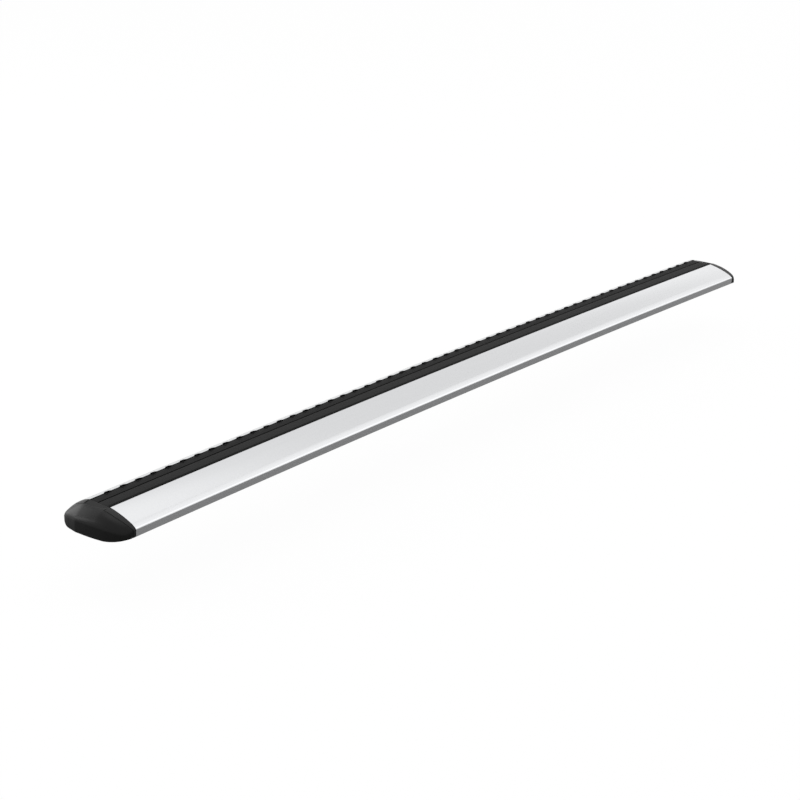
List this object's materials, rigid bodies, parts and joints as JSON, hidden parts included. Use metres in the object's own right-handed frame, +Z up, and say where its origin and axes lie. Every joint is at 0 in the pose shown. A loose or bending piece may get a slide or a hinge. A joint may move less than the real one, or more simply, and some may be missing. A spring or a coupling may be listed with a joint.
{
  "type": "roof rack crossbar",
  "caption": "Hollow aluminium wing crossbar for a vehicle roof rack, with a slotted top and underside, rubber strips and hinged end caps.",
  "frame": {"origin": "on the ground below the middle of the bar", "axes": "+X along the bar, +Y towards the blunt nose, which faces forwards on the vehicle, +Z up"},
  "size_m": [1.08, 0.08, 0.0303],
  "materials": {
    "aluminium": "satin anodised",
    "strip_rubber": "matte, finely ribbed along its length",
    "cap_base_plastic": "satin moulded",
    "cap_flap_plastic": "satin moulded, fine grain",
    "pin_steel": "drawn, plain",
    "screw_steel": "zinc plated"
  },
  "bodies": {
    "bar": {"bar_extrusion": "aluminium", "top_strip": "strip_rubber", "underside_strip": "strip_rubber", "cap_base_left": "cap_base_plastic", "hinge_pin_left": "pin_steel", "cap_screw_tail_left": "screw_steel", "cap_screw_nose_left": "screw_steel", "cap_base_right": "cap_base_plastic", "hinge_pin_right": "pin_steel", "cap_screw_tail_right": "screw_steel", "cap_screw_nose_right": "screw_steel"},
    "flap_left": {"cap_flap_left": "cap_flap_plastic"},
    "flap_right": {"cap_flap_right": "cap_flap_plastic"}
  },
  "joints": [
    {"name": "flap_left_hinge", "type": "hinge", "parent": "bar", "child": "flap_left", "pos_m": [-0.5239, 0.00685, 0.0026], "axis": [0, -1, 0], "range_deg": [0, 80]},
    {"name": "flap_right_hinge", "type": "hinge", "parent": "bar", "child": "flap_right", "pos_m": [0.5239, 0.00685, 0.0026], "axis": [0, 1, 0], "range_deg": [0, 80]}
  ]
}
